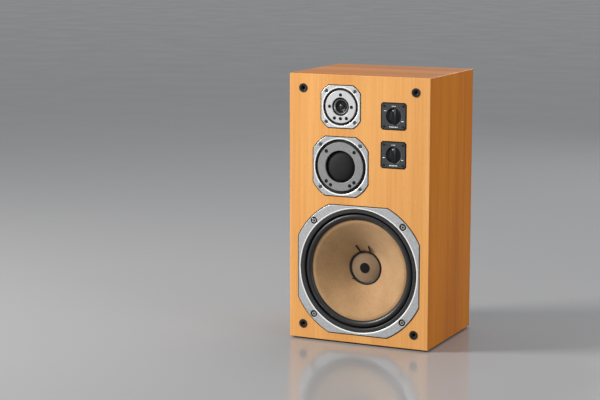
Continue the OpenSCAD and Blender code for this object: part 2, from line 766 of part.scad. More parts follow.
// Wire-wound control behind each plate, with its threaded bush and hexagon nut.
module level_potentiometers() {
    for (c = level_centres) on_baffle(c.x, c.y) {
        color(steel) difference() {
            union() {
                translate([0, 0, well_floor - 22]) cylinder(r = 19, h = 20);
                translate([0, 0, well_floor - 3]) cylinder(r = 4.7, h = 5.6);
            }
            translate([0, 0, well_floor - 20]) cylinder(r = shaft_r + 0.05, h = 30);
        }
        color(steel) difference() {
            translate([0, 0, well_floor]) cylinder(r = 6.9, h = 2.2, $fn = 6);
            translate([0, 0, well_floor - 1]) cylinder(r = 4.7, h = 5);
        }
    }
}

// Round knob with a finger hollow each side of an upright grip.
module level_knob() {
    color(black) difference() {
        translate([0, 0, well_floor + 0.5]) cylinder(r = knob_r, h = knob_proud - well_floor - 0.5);
        for (s = [-1, 1]) translate([s * 11.8, 0, 8.5]) rotate([90, 0, 0])
            translate([0, 0, -25]) cylinder(r = 12, h = 50);
        translate([0, 0, well_floor]) cylinder(r = 8.8, h = 4);
        translate([0, 0, well_floor]) cylinder(r = shaft_r, h = 8);
    }
}
module level_shaft() { color(steel) translate([0, 0, well_floor - 19]) cylinder(r = shaft_r, h = 26.5); }
module upper_knob() { on_baffle(level_x, upper_z) level_knob(); }
module lower_knob() { on_baffle(level_x, lower_z) level_knob(); }
module upper_shaft() { on_baffle(level_x, upper_z) level_shaft(); }
module lower_shaft() { on_baffle(level_x, lower_z) level_shaft(); }

// Small black screws of the control plates and of the terminal cup.
module plate_screws() {
    color(black) {
        for (c = level_centres) on_baffle(c.x, c.y) at_corners(plate_screw_off, plate_screw_off)
            translate([0, 0, plate_t - plate_sink]) socket_bolt(2.4, 0.8, 1.5, 12, 1.2);
        on_rear(0, terminal_z) at_corners(47, 31)
            translate([0, 0, rear_inset - 1.2]) socket_bolt(3.2, 1.1, 1.5, 14, 1.5);
    }
}

// ---------- rear terminals ----------

module terminal_cup() {
    in_top = rear_inset + 1;
    color(black) on_rear(0, terminal_z) difference() {
        union() {
            round_plate(cup_w, cup_h, 6, 0, rear_inset);
            round_plate(cup_in_w + 2 * cup_wall, cup_in_h + 2 * cup_wall, 3.5, cup_floor - cup_wall, 0.5);
        }
        round_plate(cup_in_w, cup_in_h, 3, cup_floor, in_top);
        at_corners(47, 31) {
            translate([0, 0, rear_inset - 1.2]) cylinder(r = 3.5, h = 3);
            translate([0, 0, -1]) cylinder(r = 1.6, h = 5);
        }
        for (x = [-post_x, post_x]) translate([x, 0, cup_floor - 5]) cylinder(r = stud_r, h = 10);
    }
}

// Threaded posts with a collar on the cup's floor and a plug socket in the end.
socket_depth = 12;
module terminal_studs() {
    color([0.85, 0.7, 0.35]) on_rear(0, terminal_z) for (x = [-post_x, post_x]) translate([x, 0, 0])
        difference() {
            union() {
                translate([0, 0, cup_floor - 9]) cylinder(r = stud_r, h = 32);
                translate([0, 0, cup_floor]) cylinder(r = 7.5, h = 4, $fn = 6);
            }
            translate([0, 0, -4 - socket_depth]) cylinder(r = 2, h = socket_depth + 2);
        }
}
module clamp_washer() {
    color(steel) tube(6.5, stud_r + 0.05, cup_floor + 4.3, cup_floor + 5.5);
}
module cap_nut(tint) {
    ribs = 18;
    low = cup_floor + 5.8;
    color(tint) difference() {
        union() {
            translate([0, 0, low]) cylinder(r = 7.6, h = 14);
            for (i = [0:ribs - 1]) rotate([0, 0, i * 360 / ribs])
                translate([6.5, -0.6, low + 2]) cube([1.9, 1.2, 10.5]);
        }
        translate([0, 0, low - 1]) cylinder(r = stud_r + 0.05, h = 20);
    }
}
// As seen from behind, the red post is on the right.
module red_washer() { on_rear(-post_x, terminal_z) clamp_washer(); }
module black_washer() { on_rear(post_x, terminal_z) clamp_washer(); }
module red_cap_nut() { on_rear(-post_x, terminal_z) cap_nut([0.7, 0.08, 0.08]); }
module black_cap_nut() { on_rear(post_x, terminal_z) cap_nut(black); }

// ---------- crossover ----------

// Puts a child on the front of the crossover board: z points into the box.
module on_board(x, z) { translate([x, board_y, board_z + z]) rotate([90, 0, 0]) children(); }

module crossover_board() {
    color([0.45, 0.3, 0.15]) on_board(0, 0) translate([-board_w / 2, -board_h / 2, -2])
        cube([board_w, board_h, 2]);
    color(bare_board) on_board(0, 0) at_corners(board_w / 2 - 8, board_h / 2 - 8)
        translate([0, 0, -14]) cylinder(r = 5, h = 12);
}
coils = [[-45, 10, 25, 9, 22], [12, 16, 18, 7, 17], [54, 20, 14, 5, 14]];
module crossover_inductors() {
    for (c = coils) on_board(c[0], c[1]) {
        color([0.72, 0.38, 0.18]) tube(c[2], c[3], 1.5, c[4] - 1.5);
        color(black) tube(c[2] + 2, c[3], 0, 1.5);
        color(black) tube(c[2] + 2, c[3], c[4] - 1.5, c[4]);
    }
}
// Film and electrolytic capacitors, with two ceramic power resistors between them.
module crossover_capacitors() {
    for (c = [[-62, -33, 9, 38], [-18, -32, 10, 44], [32, -33, 9, 36], [32, -12, 7, 30]])
        color([0.15, 0.3, 0.5]) on_board(c[0], c[1]) translate([0, 0, c[2] + 0.2]) rotate([0, 90, 0])
            cylinder(r = c[2], h = c[3]);
    for (c = [[-12, -16, 28], [68, -10, 8]])
        color([0.9, 0.9, 0.86]) on_board(c[0], c[1]) translate([0, -4, 0]) cube([c[2], 8, 8]);
}

// ---------- internal wiring ----------

// Each route runs from the crossover board to a tag: [points], two wires apart by gap in x.
stud_end = rear_outer + cup_floor - 9.4;
board_face = board_y - 0.9;
dome_tag_x = -dome_offset - 12;
tweeter_tag_z = tweeter_z + 14;
pot_back = front_y - well_floor + 23;
wire_r = 1.3;
wire_routes = [
    [[[-post_x, stud_end, terminal_z], [-post_x - 2, 90, terminal_z + 2], [-24, 82, 150], [-26, 86, 190],
      [-28, board_face, 204]], 2 * post_x],
    [[[-78, board_face, 290], [-78, 70, 300], [-60, 0, 306], [-30, -60, 300], [-22, -79, 293.5],
      [-22, -84.5, 287.5]], 44],
    [[[-68, board_face, 297], [-66, 80, 306], [-64, 45, 322], [-60, 20, 345], [-57, -20, 395],
      [dome_tag_x, -47, mid_z], [dome_tag_x, -55, mid_z]], 24],
    [[[-30, board_face, 297], [-28, 80, 308], [-18, 50, 325], [-15, 30, 350], [-20, 0, 440],
      [-40, -60, 530], [dome_tag_x, -89, tweeter_tag_z], [dome_tag_x, -97, tweeter_tag_z]], 24],
    [[[28, board_face, 297], [30, 80, 309], [40, 50, 327], [48, 30, 350], [70, -50, 410],
      [level_x - 7.5, pot_back + 16, lower_z], [level_x - 7.5, pot_back, lower_z]], 14],
    [[[56, board_face, 297], [58, 80, 308], [64, 50, 326], [70, 30, 350], [96, -40, 480],
      [82, -90, 540], [level_x - 7.5, pot_back, upper_z]], 14]
];
module internal_wiring() {
    for (r = wire_routes) {
        color([0.7, 0.1, 0.1]) swept_wire(r[0], wire_r, 8, 3);
        color(black) swept_wire([for (p = r[0]) p + [r[1], 0, 0]], wire_r, 8, 3);
    }
}

// ---------- the nodes ----------

front_baffle();
left_side_panel();
right_side_panel();
top_panel();
bottom_panel();
rear_panel();
corner_battens();
shelf_brace();
damping_felt();
floor_pads();
grille_socket_cups();
grille_socket_bushes();
woofer_basket();
woofer_gasket_ring();
woofer_surround();
woofer_spider();
woofer_bolts();
woofer_flex_leads();
woofer_cone();
woofer_dust_cap();
woofer_cap_vent();
woofer_cap_ring();
woofer_voice_coil();
woofer_lead_stubs();
mid_frame();
mid_faceplate();
mid_surround();
mid_rear_chamber();
mid_dome();
mid_voice_coil();
tweeter_frame();
tweeter_faceplate();
tweeter_bezel();
tweeter_surround();
tweeter_dome();
tweeter_voice_coil();
groove_rings();
driver_top_plates();
driver_magnets();
driver_yokes();
terminal_strips();
driver_screws();
faceplate_screws();
level_plates();
level_potentiometers();
upper_knob();
upper_shaft();
lower_knob();
lower_shaft();
plate_screws();
terminal_cup();
terminal_studs();
red_washer();
black_washer();
red_cap_nut();
black_cap_nut();
crossover_board();
crossover_inductors();
crossover_capacitors();
internal_wiring();
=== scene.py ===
import bpy, bmesh, math
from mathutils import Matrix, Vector


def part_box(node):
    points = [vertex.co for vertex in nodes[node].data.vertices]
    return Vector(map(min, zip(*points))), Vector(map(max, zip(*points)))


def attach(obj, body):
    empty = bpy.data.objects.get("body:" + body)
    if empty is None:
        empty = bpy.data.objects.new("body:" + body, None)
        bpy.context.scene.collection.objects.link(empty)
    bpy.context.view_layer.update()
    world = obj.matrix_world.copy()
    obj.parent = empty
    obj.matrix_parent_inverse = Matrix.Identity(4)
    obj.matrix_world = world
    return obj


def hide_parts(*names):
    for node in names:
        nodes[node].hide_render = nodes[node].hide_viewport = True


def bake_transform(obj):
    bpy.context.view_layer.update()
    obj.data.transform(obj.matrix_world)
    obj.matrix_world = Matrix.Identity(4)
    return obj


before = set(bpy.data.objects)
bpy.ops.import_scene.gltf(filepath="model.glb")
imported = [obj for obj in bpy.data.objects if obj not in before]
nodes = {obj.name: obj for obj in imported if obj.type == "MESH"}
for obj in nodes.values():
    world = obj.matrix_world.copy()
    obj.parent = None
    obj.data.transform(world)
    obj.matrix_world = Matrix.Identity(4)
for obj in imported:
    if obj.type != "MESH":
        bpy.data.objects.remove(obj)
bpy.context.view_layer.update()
scene = bpy.context.scene
MM = 0.001
CABINET = "cabinet"


def centre(node):
    lo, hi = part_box(node)
    return (lo + hi) / 2


FRONT_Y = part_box("front_baffle")[0].y
WOOFER = centre("woofer_gasket_ring")
MID = centre("mid_faceplate")
TWEETER = centre("tweeter_faceplate")
UPPER_KNOB = centre("upper_knob")
LOWER_KNOB = centre("lower_knob")
NEAR, FAR = -1.0, 1.0  # open ends for masks, in metres
CONE_BODY = "woofer_cone_assembly"


def at(c, x, up, out):
    """Driver axes in millimetres (right, up, out of the baffle) to a world point."""
    return Vector((c.x + x * MM, FRONT_Y - out * MM, c.z + up * MM))


# ---------- node helpers ----------


class Look:
    """A material being built: a principled shader and the nodes that feed it."""

    def __init__(self, name, color, rough, metal=0.0, **sockets):
        self.mat = bpy.data.materials.new(name)
        self.mat.use_nodes = True
        self.tree = self.mat.node_tree
        self.shader = self.tree.nodes["Principled BSDF"]
        self.set("Base Color", (*color, 1))
        self.set("Roughness", rough)
        self.set("Metallic", metal)
        for key, value in sockets.items():
            self.set(key.replace("_", " "), value)
        self.coords = None

    def set(self, socket, value):
        self.shader.inputs[socket].default_value = value

    def add(self, kind, **props):
        n = self.tree.nodes.new(kind)
        for key, value in props.items():
            setattr(n, key, value)
        return n

    def link(self, a, b):
        self.tree.links.new(a, b)

    def space(self, scale=(1, 1, 1), turn=(0, 0, 0), origin=(0, 0, 0)):
        """Object coordinates in metres, moved to origin, turned and scaled."""
        if self.coords is None:
            self.coords = self.add("ShaderNodeTexCoord").outputs["Object"]
        shift = self.add("ShaderNodeVectorMath", operation="SUBTRACT")
        self.link(self.coords, shift.inputs[0])
        shift.inputs[1].default_value = origin
        m = self.add("ShaderNodeMapping")
        self.link(shift.outputs[0], m.inputs["Vector"])
        m.inputs["Rotation"].default_value = turn
        m.inputs["Scale"].default_value = scale
        return m.outputs["Vector"]

    def noise(self, vector, scale=1.0, detail=3.0, rough=0.55, distort=0.0):
        n = self.add("ShaderNodeTexNoise")
        self.link(vector, n.inputs["Vector"])
        n.inputs["Scale"].default_value = scale
        n.inputs["Detail"].default_value = detail
        n.inputs["Roughness"].default_value = rough
        n.inputs["Distortion"].default_value = distort
        return n.outputs["Fac"]

    def ramp(self, factor, *stops, smooth=False):
        n = self.add("ShaderNodeValToRGB")
        self.link(factor, n.inputs["Fac"])
        elements = n.color_ramp.elements
        n.color_ramp.interpolation = "EASE" if smooth else "LINEAR"
        while len(elements) < len(stops):
            elements.new(0.5)
        for e, (pos, value) in zip(elements, stops):
            e.position = pos
            e.color = (*value, 1) if isinstance(value, tuple) else (value, value, value, 1)
        return n.outputs["Color"]

    def math(self, op, a, b):
        n = self.add("ShaderNodeMath", operation=op)
        for i, v in enumerate((a, b)):
            if isinstance(v, (int, float)):
                n.inputs[i].default_value = v
            else:
                self.link(v, n.inputs[i])
        return n.outputs[0]

    def mix(self, factor, a, b, blend="MIX"):
        n = self.add("ShaderNodeMix", data_type="RGBA", blend_type=blend)
        for i, v in ((0, factor), (6, a), (7, b)):
            if isinstance(v, (int, float)):
                n.inputs[i].default_value = v
            elif isinstance(v, tuple):
                n.inputs[i].default_value = (*v, 1)
            else:
                self.link(v, n.inputs[i])
        return n.outputs[2]

    def axis(self, vector, name):
        n = self.add("ShaderNodeSeparateXYZ")
        self.link(vector, n.inputs[0])
        return n.outputs[name]

    def radius(self, c, fold=0.0):
        """Distance in metres from the axis through c, along Y.
        fold mirrors the four corners that far out into one."""
        offset = self.space(origin=tuple(c))
        sides = [self.axis(offset, k) for k in ("X", "Z")]
        if fold:
            sides = [self.math("SUBTRACT", self.math("ABSOLUTE", v, 0.0), fold) for v in sides]
        squares = [self.math("MULTIPLY", v, v) for v in sides]
        return self.math("SQRT", self.math("ADD", *squares), 0.0)

    def rebate(self, c, half, corner):
        """Distance in metres outside a square round c. half is its half width and corner the radius that cuts
        its corners, both in millimetres."""
        offset = self.space(origin=tuple(c))
        sides = [self.math("ABSOLUTE", self.axis(offset, k), 0.0) for k in ("X", "Z")]
        flat = self.math("SUBTRACT", self.math("MAXIMUM", *sides), half * MM)
        return self.math("MAXIMUM", flat, self.math("SUBTRACT", self.radius(c), corner * MM))

    def between(self, value, low, high, soft=0.0001):
        """1 where value lies between low and high, fading over soft, all in metres."""
        past_low = self.math("MULTIPLY", self.math("SUBTRACT", value, low), 1 / soft)
        up = self.ramp(past_low, (0.0, 0.0), (1.0, 1.0))
        before_high = self.math("MULTIPLY", self.math("SUBTRACT", high, value), 1 / soft)
        down = self.ramp(before_high, (0.0, 0.0), (1.0, 1.0))
        return self.math("MULTIPLY", up, down)

    def sunk(self, out):
        """1 behind the plane that lies out millimetres in front of the baffle."""
        return self.between(self.axis(self.space(), "Y"), FRONT_Y - out * MM, 1.0)

    def both(self, a, b):
        """1 where both masks are 1."""
        return self.math("MULTIPLY", a, b)

    def over(self, mask, color):
        """Lays a colour over the present base colour where the mask is 1."""
        base = self.shader.inputs["Base Color"]
        under = base.links[0].from_socket if base.links else tuple(base.default_value)[:3]
        return self.colour(self.mix(mask, under, color))

    def colour(self, output):
        self.link(output, self.shader.inputs["Base Color"])
        return self

    def roughness(self, output):
        self.link(output, self.shader.inputs["Roughness"])
        return self

    def bump(self, height, strength, distance):
        n = self.add("ShaderNodeBump")
        n.inputs["Strength"].default_value = strength
        n.inputs["Distance"].default_value = distance
        self.link(height, n.inputs["Height"])
        self.link(n.outputs["Normal"], self.shader.inputs["Normal"])
        return self


def veneer(name, dark, light, along, shine=0.32):
    """Fine straight-grained veneer. along is the grain's axis index."""
    look = Look(name, light, 0.46, Specular_IOR_Level=shine)

    def stretched(width, length):
        scale = [1 / width] * 3
        scale[along] = 1 / length
        return look.space(scale=tuple(scale))

    broad = look.noise(stretched(0.075, 1.1), detail=2, distort=0.3)
    bands = look.noise(stretched(0.0055, 0.7), detail=3, rough=0.6, distort=0.1)
    lines = look.noise(stretched(0.0011, 0.12), detail=3, rough=0.65)
    pores = look.noise(stretched(0.0006, 0.012), detail=2, rough=0.6)
    tone = look.math("ADD", look.math("MULTIPLY", broad, 0.62), look.math("MULTIPLY", bands, 0.38))
    base = look.ramp(tone, (0.34, dark), (0.66, light), smooth=True)
    streak = look.ramp(lines, (0.3, (0.84, 0.77, 0.70)), (0.55, 1.0), (0.75, (1.0, 0.98, 0.93)))
    base = look.mix(0.75, base, streak, "MULTIPLY")
    pore = look.ramp(pores, (0.30, (0.66, 0.55, 0.45)), (0.40, 1.0))
    base = look.mix(0.55, base, pore, "MULTIPLY")
    look.colour(base)
    look.roughness(look.ramp(lines, (0.3, 0.50), (0.7, 0.38)))
    relief = look.math("ADD", look.math("MULTIPLY", lines, 0.5), look.math("MULTIPLY", pores, 0.5))
    look.bump(relief, 0.25, 0.0002)
    return look


def speckled(name, color, rough, metal, scale, depth, contrast=0.12, **sockets):
    """Paint or cast skin with a fine uneven surface."""
    look = Look(name, color, rough, metal, **sockets)
    coarse = look.noise(look.space(), scale, 4, 0.6)
    fine = look.noise(look.space(), scale * 3.1, 3, 0.6)
    low = tuple(c * (1 - contrast) for c in color)
    high = tuple(min(1.0, c * (1 + contrast)) for c in color)
    look.colour(look.ramp(coarse, (0.35, low), (0.65, high)))
    look.roughness(look.ramp(fine, (0.3, max(rough - 0.08, 0.03)), (0.7, min(rough + 0.1, 1.0))))
    look.bump(look.math("ADD", coarse, look.math("MULTIPLY", fine, 0.5)), 0.5, depth)
    return look


def brushed(name, color, rough, origin=None, metal=1.0):
    """Turned or brushed metal: fine rings round origin along Y, or fine lines along X."""
    look = Look(name, color, rough, metal)
    if origin is None:
        lines = look.noise(look.space(scale=(40, 2500, 2500)), 1.0, 2)
    else:
        split = look.add("ShaderNodeSeparateXYZ")
        look.link(look.space(origin=tuple(origin)), split.inputs[0])
        squares = [look.math("POWER", split.outputs[k], 2.0) for k in ("X", "Z")]
        r2 = look.math("ADD", *squares)
        r = look.math("SQRT", r2, 0)
        join = look.add("ShaderNodeCombineXYZ")
        look.link(look.math("MULTIPLY", r, 2600.0), join.inputs["X"])
        lines = look.noise(join.outputs[0], 1.0, 2)
    look.roughness(look.ramp(lines, (0.3, rough - 0.07), (0.7, rough + 0.1)))
    look.colour(look.ramp(lines, (0.3, tuple(c * 0.9 for c in color)), (0.7, color)))
    look.bump(lines, 0.15, 0.00005)
    return look.mat


def cloth(name, color, rough, pitch, depth, sheen=0.3, **sockets):
    """A plain weave of the given thread pitch in metres."""
    look = Look(name, color, rough, Sheen_Weight=sheen, Sheen_Roughness=0.5, **sockets)
    waves = []
    for axis in ("X", "Z"):
        w = look.add("ShaderNodeTexWave", wave_type="BANDS", bands_direction=axis, wave_profile="SIN")
        look.link(look.space(), w.inputs["Vector"])
        w.inputs["Scale"].default_value = 0.314 / pitch
        w.inputs["Distortion"].default_value = 0.6
        w.inputs["Detail"].default_value = 1.0
        waves.append(w.outputs["Fac"])
    weave = look.math("MULTIPLY", *waves)
    patch = look.noise(look.space(), 60, 3)
    shade = look.math("ADD", look.math("MULTIPLY", weave, 0.7), look.math("MULTIPLY", patch, 0.3))
    low = tuple(c * 0.6 for c in color)
    high = tuple(min(1, c * 1.35) for c in color)
    look.colour(look.ramp(shade, (0.1, low), (0.8, high)))
    look.bump(weave, 0.6, depth)
    return look.mat


def pulp(name, dark, light):
    """Pressed paper pulp: matted fibres, clumps and soft blotches."""
    look = Look(name, light, 0.86, Sheen_Weight=0.15, Sheen_Roughness=0.6)
    blotch = look.noise(look.space(), 22, 4, 0.6)
    fibre = look.noise(look.space(scale=(1, 0.6, 1)), 700, 4, 0.7, 0.8)
    clump = look.noise(look.space(), 260, 3, 0.6, 0.4)
    tone = look.math("ADD", look.math("MULTIPLY", blotch, 0.45), look.math("MULTIPLY", clump, 0.30))
    tone = look.math("ADD", tone, look.math("MULTIPLY", fibre, 0.25))
    look.colour(look.ramp(tone, (0.36, dark), (0.62, light)))
    look.bump(look.math("ADD", fibre, look.math("MULTIPLY", clump, 0.8)), 0.55, 0.00022)
    return look.mat


def plain(name, color, rough, metal=0.0, scale=260, depth=0.00006, contrast=0.07, **sockets):
    """Moulded plastic, rubber or lacquer: an almost even surface with a fine grain."""
    return speckled(name, color, rough, metal, scale, depth, contrast, **sockets)


# ---------- mesh helpers ----------


def finish_mesh(name, bm, mat, body=CABINET, smooth_angle=34):
    """Makes a piece from bm. With a body it rides on that body; without one it stays unparented."""
    bmesh.ops.recalc_face_normals(bm, faces=bm.faces)
    mesh = bpy.data.meshes.new(name)
    bm.to_mesh(mesh)
    bm.free()
    for p in mesh.polygons:
        p.use_smooth = True
    mesh.set_sharp_from_angle(angle=math.radians(smooth_angle))
    obj = bpy.data.objects.new(name, mesh)
    scene.collection.objects.link(obj)
    mesh.materials.append(mat)
    if body:
        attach(obj, body)
    return obj


def add_bevel(obj, width, segments=2, angle=35):
    """Rounds the edges of a node when it is shown; width in metres. The node's mesh stays as it is."""
    m = obj.modifiers.new("soft edges", "BEVEL")
    m.width = width
    m.segments = segments
    m.limit_method = "ANGLE"
    m.angle_limit = math.radians(angle)
    m.harden_normals = False
    m.use_clamp_overlap = True


def lathe(name, profile, c, mat, body=CABINET, segs=192, lift=None, smooth_angle=34):
    """Turns a closed profile of (radius, out) pairs in millimetres round a driver's axis.
    lift(r, angle) may add to out. A radius of 0 is a point on the axis."""
    bm = bmesh.new()
    rings = []
    for r, w in profile:
        if r < 1e-6:
            rings.append([bm.verts.new(at(c, 0, 0, w))])
            continue
        ring = []
        for k in range(segs):
            a = 2 * math.pi * k / segs
            extra = lift(r, a, w) if lift else 0
            ring.append(bm.verts.new(at(c, r * math.cos(a), r * math.sin(a), w + extra)))
        rings.append(ring)
    for a, b in zip(rings, rings[1:] + rings[:1]):
        if len(a) == 1 and len(b) == 1:
            continue
        for k in range(segs):
            m = (k + 1) % segs
            if len(a) == 1:
                bm.faces.new((a[0], b[m], b[k]))
            elif len(b) == 1:
                bm.faces.new((a[k], a[m], b[0]))
            else:
                bm.faces.new((a[k], a[m], b[m], b[k]))
    return finish_mesh(name, bm, mat, body, smooth_angle)


def tube_along(name, points, radius, mat, body=CABINET):
    """A round wire through the points, as a mesh."""
    curve = bpy.data.curves.new(name, "CURVE")
    curve.dimensions = "3D"
    curve.bevel_depth = radius
    curve.bevel_resolution = 4
    curve.use_fill_caps = True
    spline = curve.splines.new("NURBS")
    spline.points.add(len(points) - 1)
    for p, co in zip(spline.points, points):
        p.co = (*co, 1)
    spline.use_endpoint_u = True
    spline.order_u = 3
    spline.resolution_u = 8
    temp = bpy.data.objects.new(name + "_curve", curve)
    scene.collection.objects.link(temp)
    bpy.context.view_layer.update()
    mesh = bpy.data.meshes.new_from_object(temp.evaluated_get(bpy.context.evaluated_depsgraph_get()))
    bpy.data.objects.remove(temp)
    bm = bmesh.new()
    bm.from_mesh(mesh)
    bmesh.ops.remove_doubles(bm, verts=bm.verts, dist=1e-6)
    bpy.data.meshes.remove(mesh)
    return finish_mesh(name, bm, mat, body, 50)


# ---------- materials ----------

front_veneer = veneer("front_veneer", (0.67, 0.308, 0.086), (0.76, 0.388, 0.124), 2)
# Painted shade: the cut-outs' walls behind the veneer are painted near black, far darker than the raw board
# there, clear of the mitred outer edges.
height_mask = front_veneer.between(front_veneer.axis(front_veneer.space(), "Z"), 0.006, 0.624)
inside = front_veneer.both(front_veneer.sunk(-0.4), height_mask)
width_mask = front_veneer.between(front_veneer.axis(front_veneer.space(), "X"), -0.172, 0.172)
front_veneer.over(front_veneer.both(inside, width_mask), (0.035, 0.02, 0.012))
# Painted shade darkens each rebate and a thin band of the baffle round its edge: its centre, the width of
# what lies in it, and the radius that cuts its corners.
REBATES = (
    (WOOFER, 303, 168), (MID, 137, 78.4), (TWEETER, 97, 57.3),
    (UPPER_KNOB, 59, 39.4), (LOWER_KNOB, 59, 39.4),
)
REBATE_GAP, REBATE_SHADE_BAND = 1.5, 0.0008
for spot, flats, corner in REBATES:
    edge = front_veneer.rebate(spot, flats / 2 + REBATE_GAP, corner + REBATE_GAP)
    front_veneer.over(front_veneer.between(edge, NEAR, REBATE_SHADE_BAND), (0.05, 0.026, 0.014))
front_wood = front_veneer.mat
# The front, sides, top and bottom share one veneer; these copies are painted darker and more saturated than
# the front as painted shade.
shaded_side_wood = veneer("side_veneer", (0.44, 0.124, 0.004), (0.59, 0.196, 0.008), 2, 0.14).mat
shaded_left_wood = veneer("left_veneer", (0.42, 0.165, 0.040), (0.52, 0.225, 0.060), 2, 0.22).mat
shaded_top_wood = veneer("top_veneer", (0.28, 0.100, 0.022), (0.37, 0.144, 0.034), 0, 0.22).mat
rear_paint = speckled("rear_board", (0.03, 0.027, 0.025), 0.7, 0, 90, 0.0003).mat
raw_board = speckled("raw_board", (0.55, 0.42, 0.28), 0.85, 0, 150, 0.0005, 0.3).mat
felt = speckled("felt", (0.36, 0.33, 0.29), 0.95, 0, 120, 0.002, 0.3).mat


# Near black used as painted shade in holes, grooves and along dark edges.
PAINTED_SHADE_BLACK = (0.008, 0.008, 0.008)
BOLT_OFFSET = 111.5  # of each woofer bolt from the driver's axis, across and up
BOLT_HOLE_R, HEXAGON_R, LIP_WIDTH = 8.35, 2.75, 3.0


def casting(name, c, lip, groove, bolts=0.0, paint=(0.44, 0.455, 0.47)):
    """Silver paint over a casting: a lip round the opening painted near white, partly bare metal and partly
    painted highlight, and painted shade in black in the sunk groove and the bolt holes.
    lip, groove and bolts are radii and an offset in millimetres."""
    look = speckled(name, paint, 0.42, 0.35, 300, 0.0003, 0.18)
    r = look.radius(c)
    look.over(look.between(r, lip * MM, (lip + LIP_WIDTH) * MM), (0.93, 0.93, 0.92))
    # Painted shade: the sunk groove is painted black.
    groove_shade = look.both(look.between(r, groove[0] * MM, groove[1] * MM), look.sunk(0.7))
    look.over(groove_shade, PAINTED_SHADE_BLACK)
    if bolts:
        # Painted shade: the sunk bolt holes are painted black.
        hole = look.between(look.radius(c, bolts * MM), NEAR, BOLT_HOLE_R * MM)
        look.over(look.both(hole, look.sunk(1.2)), PAINTED_SHADE_BLACK)
    return look.mat


basket_casting = casting("silver_casting", WOOFER, 146, (134, 146.4), BOLT_OFFSET)
mid_casting = casting("silver_casting_mid", MID, 64, (30, 64.4))
tweeter_casting = casting("silver_casting_tweeter", TWEETER, 43.6, (10, 44), paint=(0.58, 0.595, 0.61))
gasket_look = plain("gasket_black", (0.018, 0.018, 0.02), 0.5)
# Painted shade: the gasket's outer edge next to the flange is painted near black.
gasket_look.over(gasket_look.between(gasket_look.radius(WOOFER), 0.1441, FAR), (0.002, 0.002, 0.002))
gasket_black = gasket_look.mat
rubber_look = plain("surround_rubber", (0.018, 0.018, 0.019), 0.38, scale=180, Specular_IOR_Level=0.4)
# Painted shade: the roll's steep outer flank is painted near black.
rubber_flank_shade = rubber_look.between(rubber_look.radius(WOOFER), 0.1322, FAR, 0.0006)
rubber_look.over(rubber_flank_shade, (0.001, 0.001, 0.001))
rubber = rubber_look.mat
spider_cloth = cloth("spider_cloth", (0.55, 0.38, 0.16), 0.9, 0.0009, 0.0003)
bolt_look = speckled("bolt_steel", (0.86, 0.84, 0.78), 0.3, 1.0, 500, 0.0001)
# Painted shade: the sunk hexagon socket in each bolt head is painted near black.
hex_socket_shade = bolt_look.between(bolt_look.radius(WOOFER, BOLT_OFFSET * MM), NEAR, HEXAGON_R * MM)
bolt_metal = bolt_look.over(bolt_look.both(hex_socket_shade, bolt_look.sunk(0.6)), (0.01, 0.01, 0.01)).mat
braid = cloth("lead_braid", (0.006, 0.005, 0.005), 0.7, 0.0006, 0.0002, 0.0, Specular_IOR_Level=0.2)
copper_braid = cloth("flex_braid", (0.5, 0.26, 0.14), 0.5, 0.0006, 0.0002)
cone_paper = pulp("cone_paper", (0.29, 0.158, 0.062), (0.41, 0.238, 0.102))
cap_paper = pulp("cap_paper", (0.185, 0.108, 0.052), (0.255, 0.16, 0.084))
mesh_black = cloth("vent_mesh", (0.012, 0.010, 0.009), 0.8, 0.0008, 0.0003, 0.0, Specular_IOR_Level=0.1)
glue = plain("glue_black", (0.007, 0.007, 0.007), 0.48, scale=120, depth=0.0001, Specular_IOR_Level=0.3).mat
copper = brushed("coil_copper", (0.62, 0.30, 0.15), 0.35)
plate_grey = speckled("plate_grey", (0.235, 0.238, 0.242), 0.55, 0.25, 700, 0.0002, 0.22).mat
plate_silver = brushed("plate_silver", (0.68, 0.68, 0.69), 0.36, TWEETER, 0.35)
bezel_look = plain("bezel_metal", (0.30, 0.305, 0.315), 0.42, 0.85)
# Painted shade: the bezel's outer rim, where it slopes into the recess, is painted near black.
bezel_look.over(bezel_look.between(bezel_look.radius(TWEETER), 0.0171, FAR), (0.003, 0.003, 0.003))
bezel_metal = bezel_look.mat
dome_cloth = cloth("dome_cloth", (0.007, 0.007, 0.0075), 0.75, 0.0007, 0.00012, 0.03, Specular_IOR_Level=0.3)
tweeter_cloth = cloth("tweeter_cloth", (0.017, 0.017, 0.018), 0.31, 0.0004, 0.00005, 0.0)
matt_black = plain("groove_black", (0.008, 0.008, 0.008), 0.8).mat
plated = brushed("plated_steel", (0.56, 0.56, 0.52), 0.35)
ferrite = plain("ferrite", (0.045, 0.045, 0.05), 0.7, scale=300).mat
board_brown = speckled("board_brown", (0.27, 0.15, 0.07), 0.6, 0, 260, 0.0001).mat
screw_grey = plain("screw_grey", (0.16, 0.18, 0.165), 0.35, 0.8).mat
screw_black = plain("screw_black", (0.012, 0.012, 0.013), 0.3, 0.3).mat
slate_look = plain("control_slate", (0.043, 0.046, 0.050), 0.5, scale=500, Specular_IOR_Level=0.28)
for knob in (UPPER_KNOB, LOWER_KNOB):
    # Painted highlight: a lighter ring on the rim of each knob's well.
    well_rim_highlight = slate_look.between(slate_look.radius(knob), 0.0189, 0.0203)
    slate_look.over(well_rim_highlight, (0.095, 0.098, 0.102))
    # Painted shade: the plate's outer edge is painted near black.
    plate_edge_shade = slate_look.between(slate_look.rebate(knob, 28.6, 37.4), -0.0002, 0.008)
    slate_look.over(plate_edge_shade, PAINTED_SHADE_BLACK)
slate = slate_look.mat
PIN_UP, PIN_R = 13.3, 1.25  # the knob's white pin
knob_look = plain("knob_black", (0.007, 0.0072, 0.0078), 0.32, scale=500, Specular_IOR_Level=0.4)
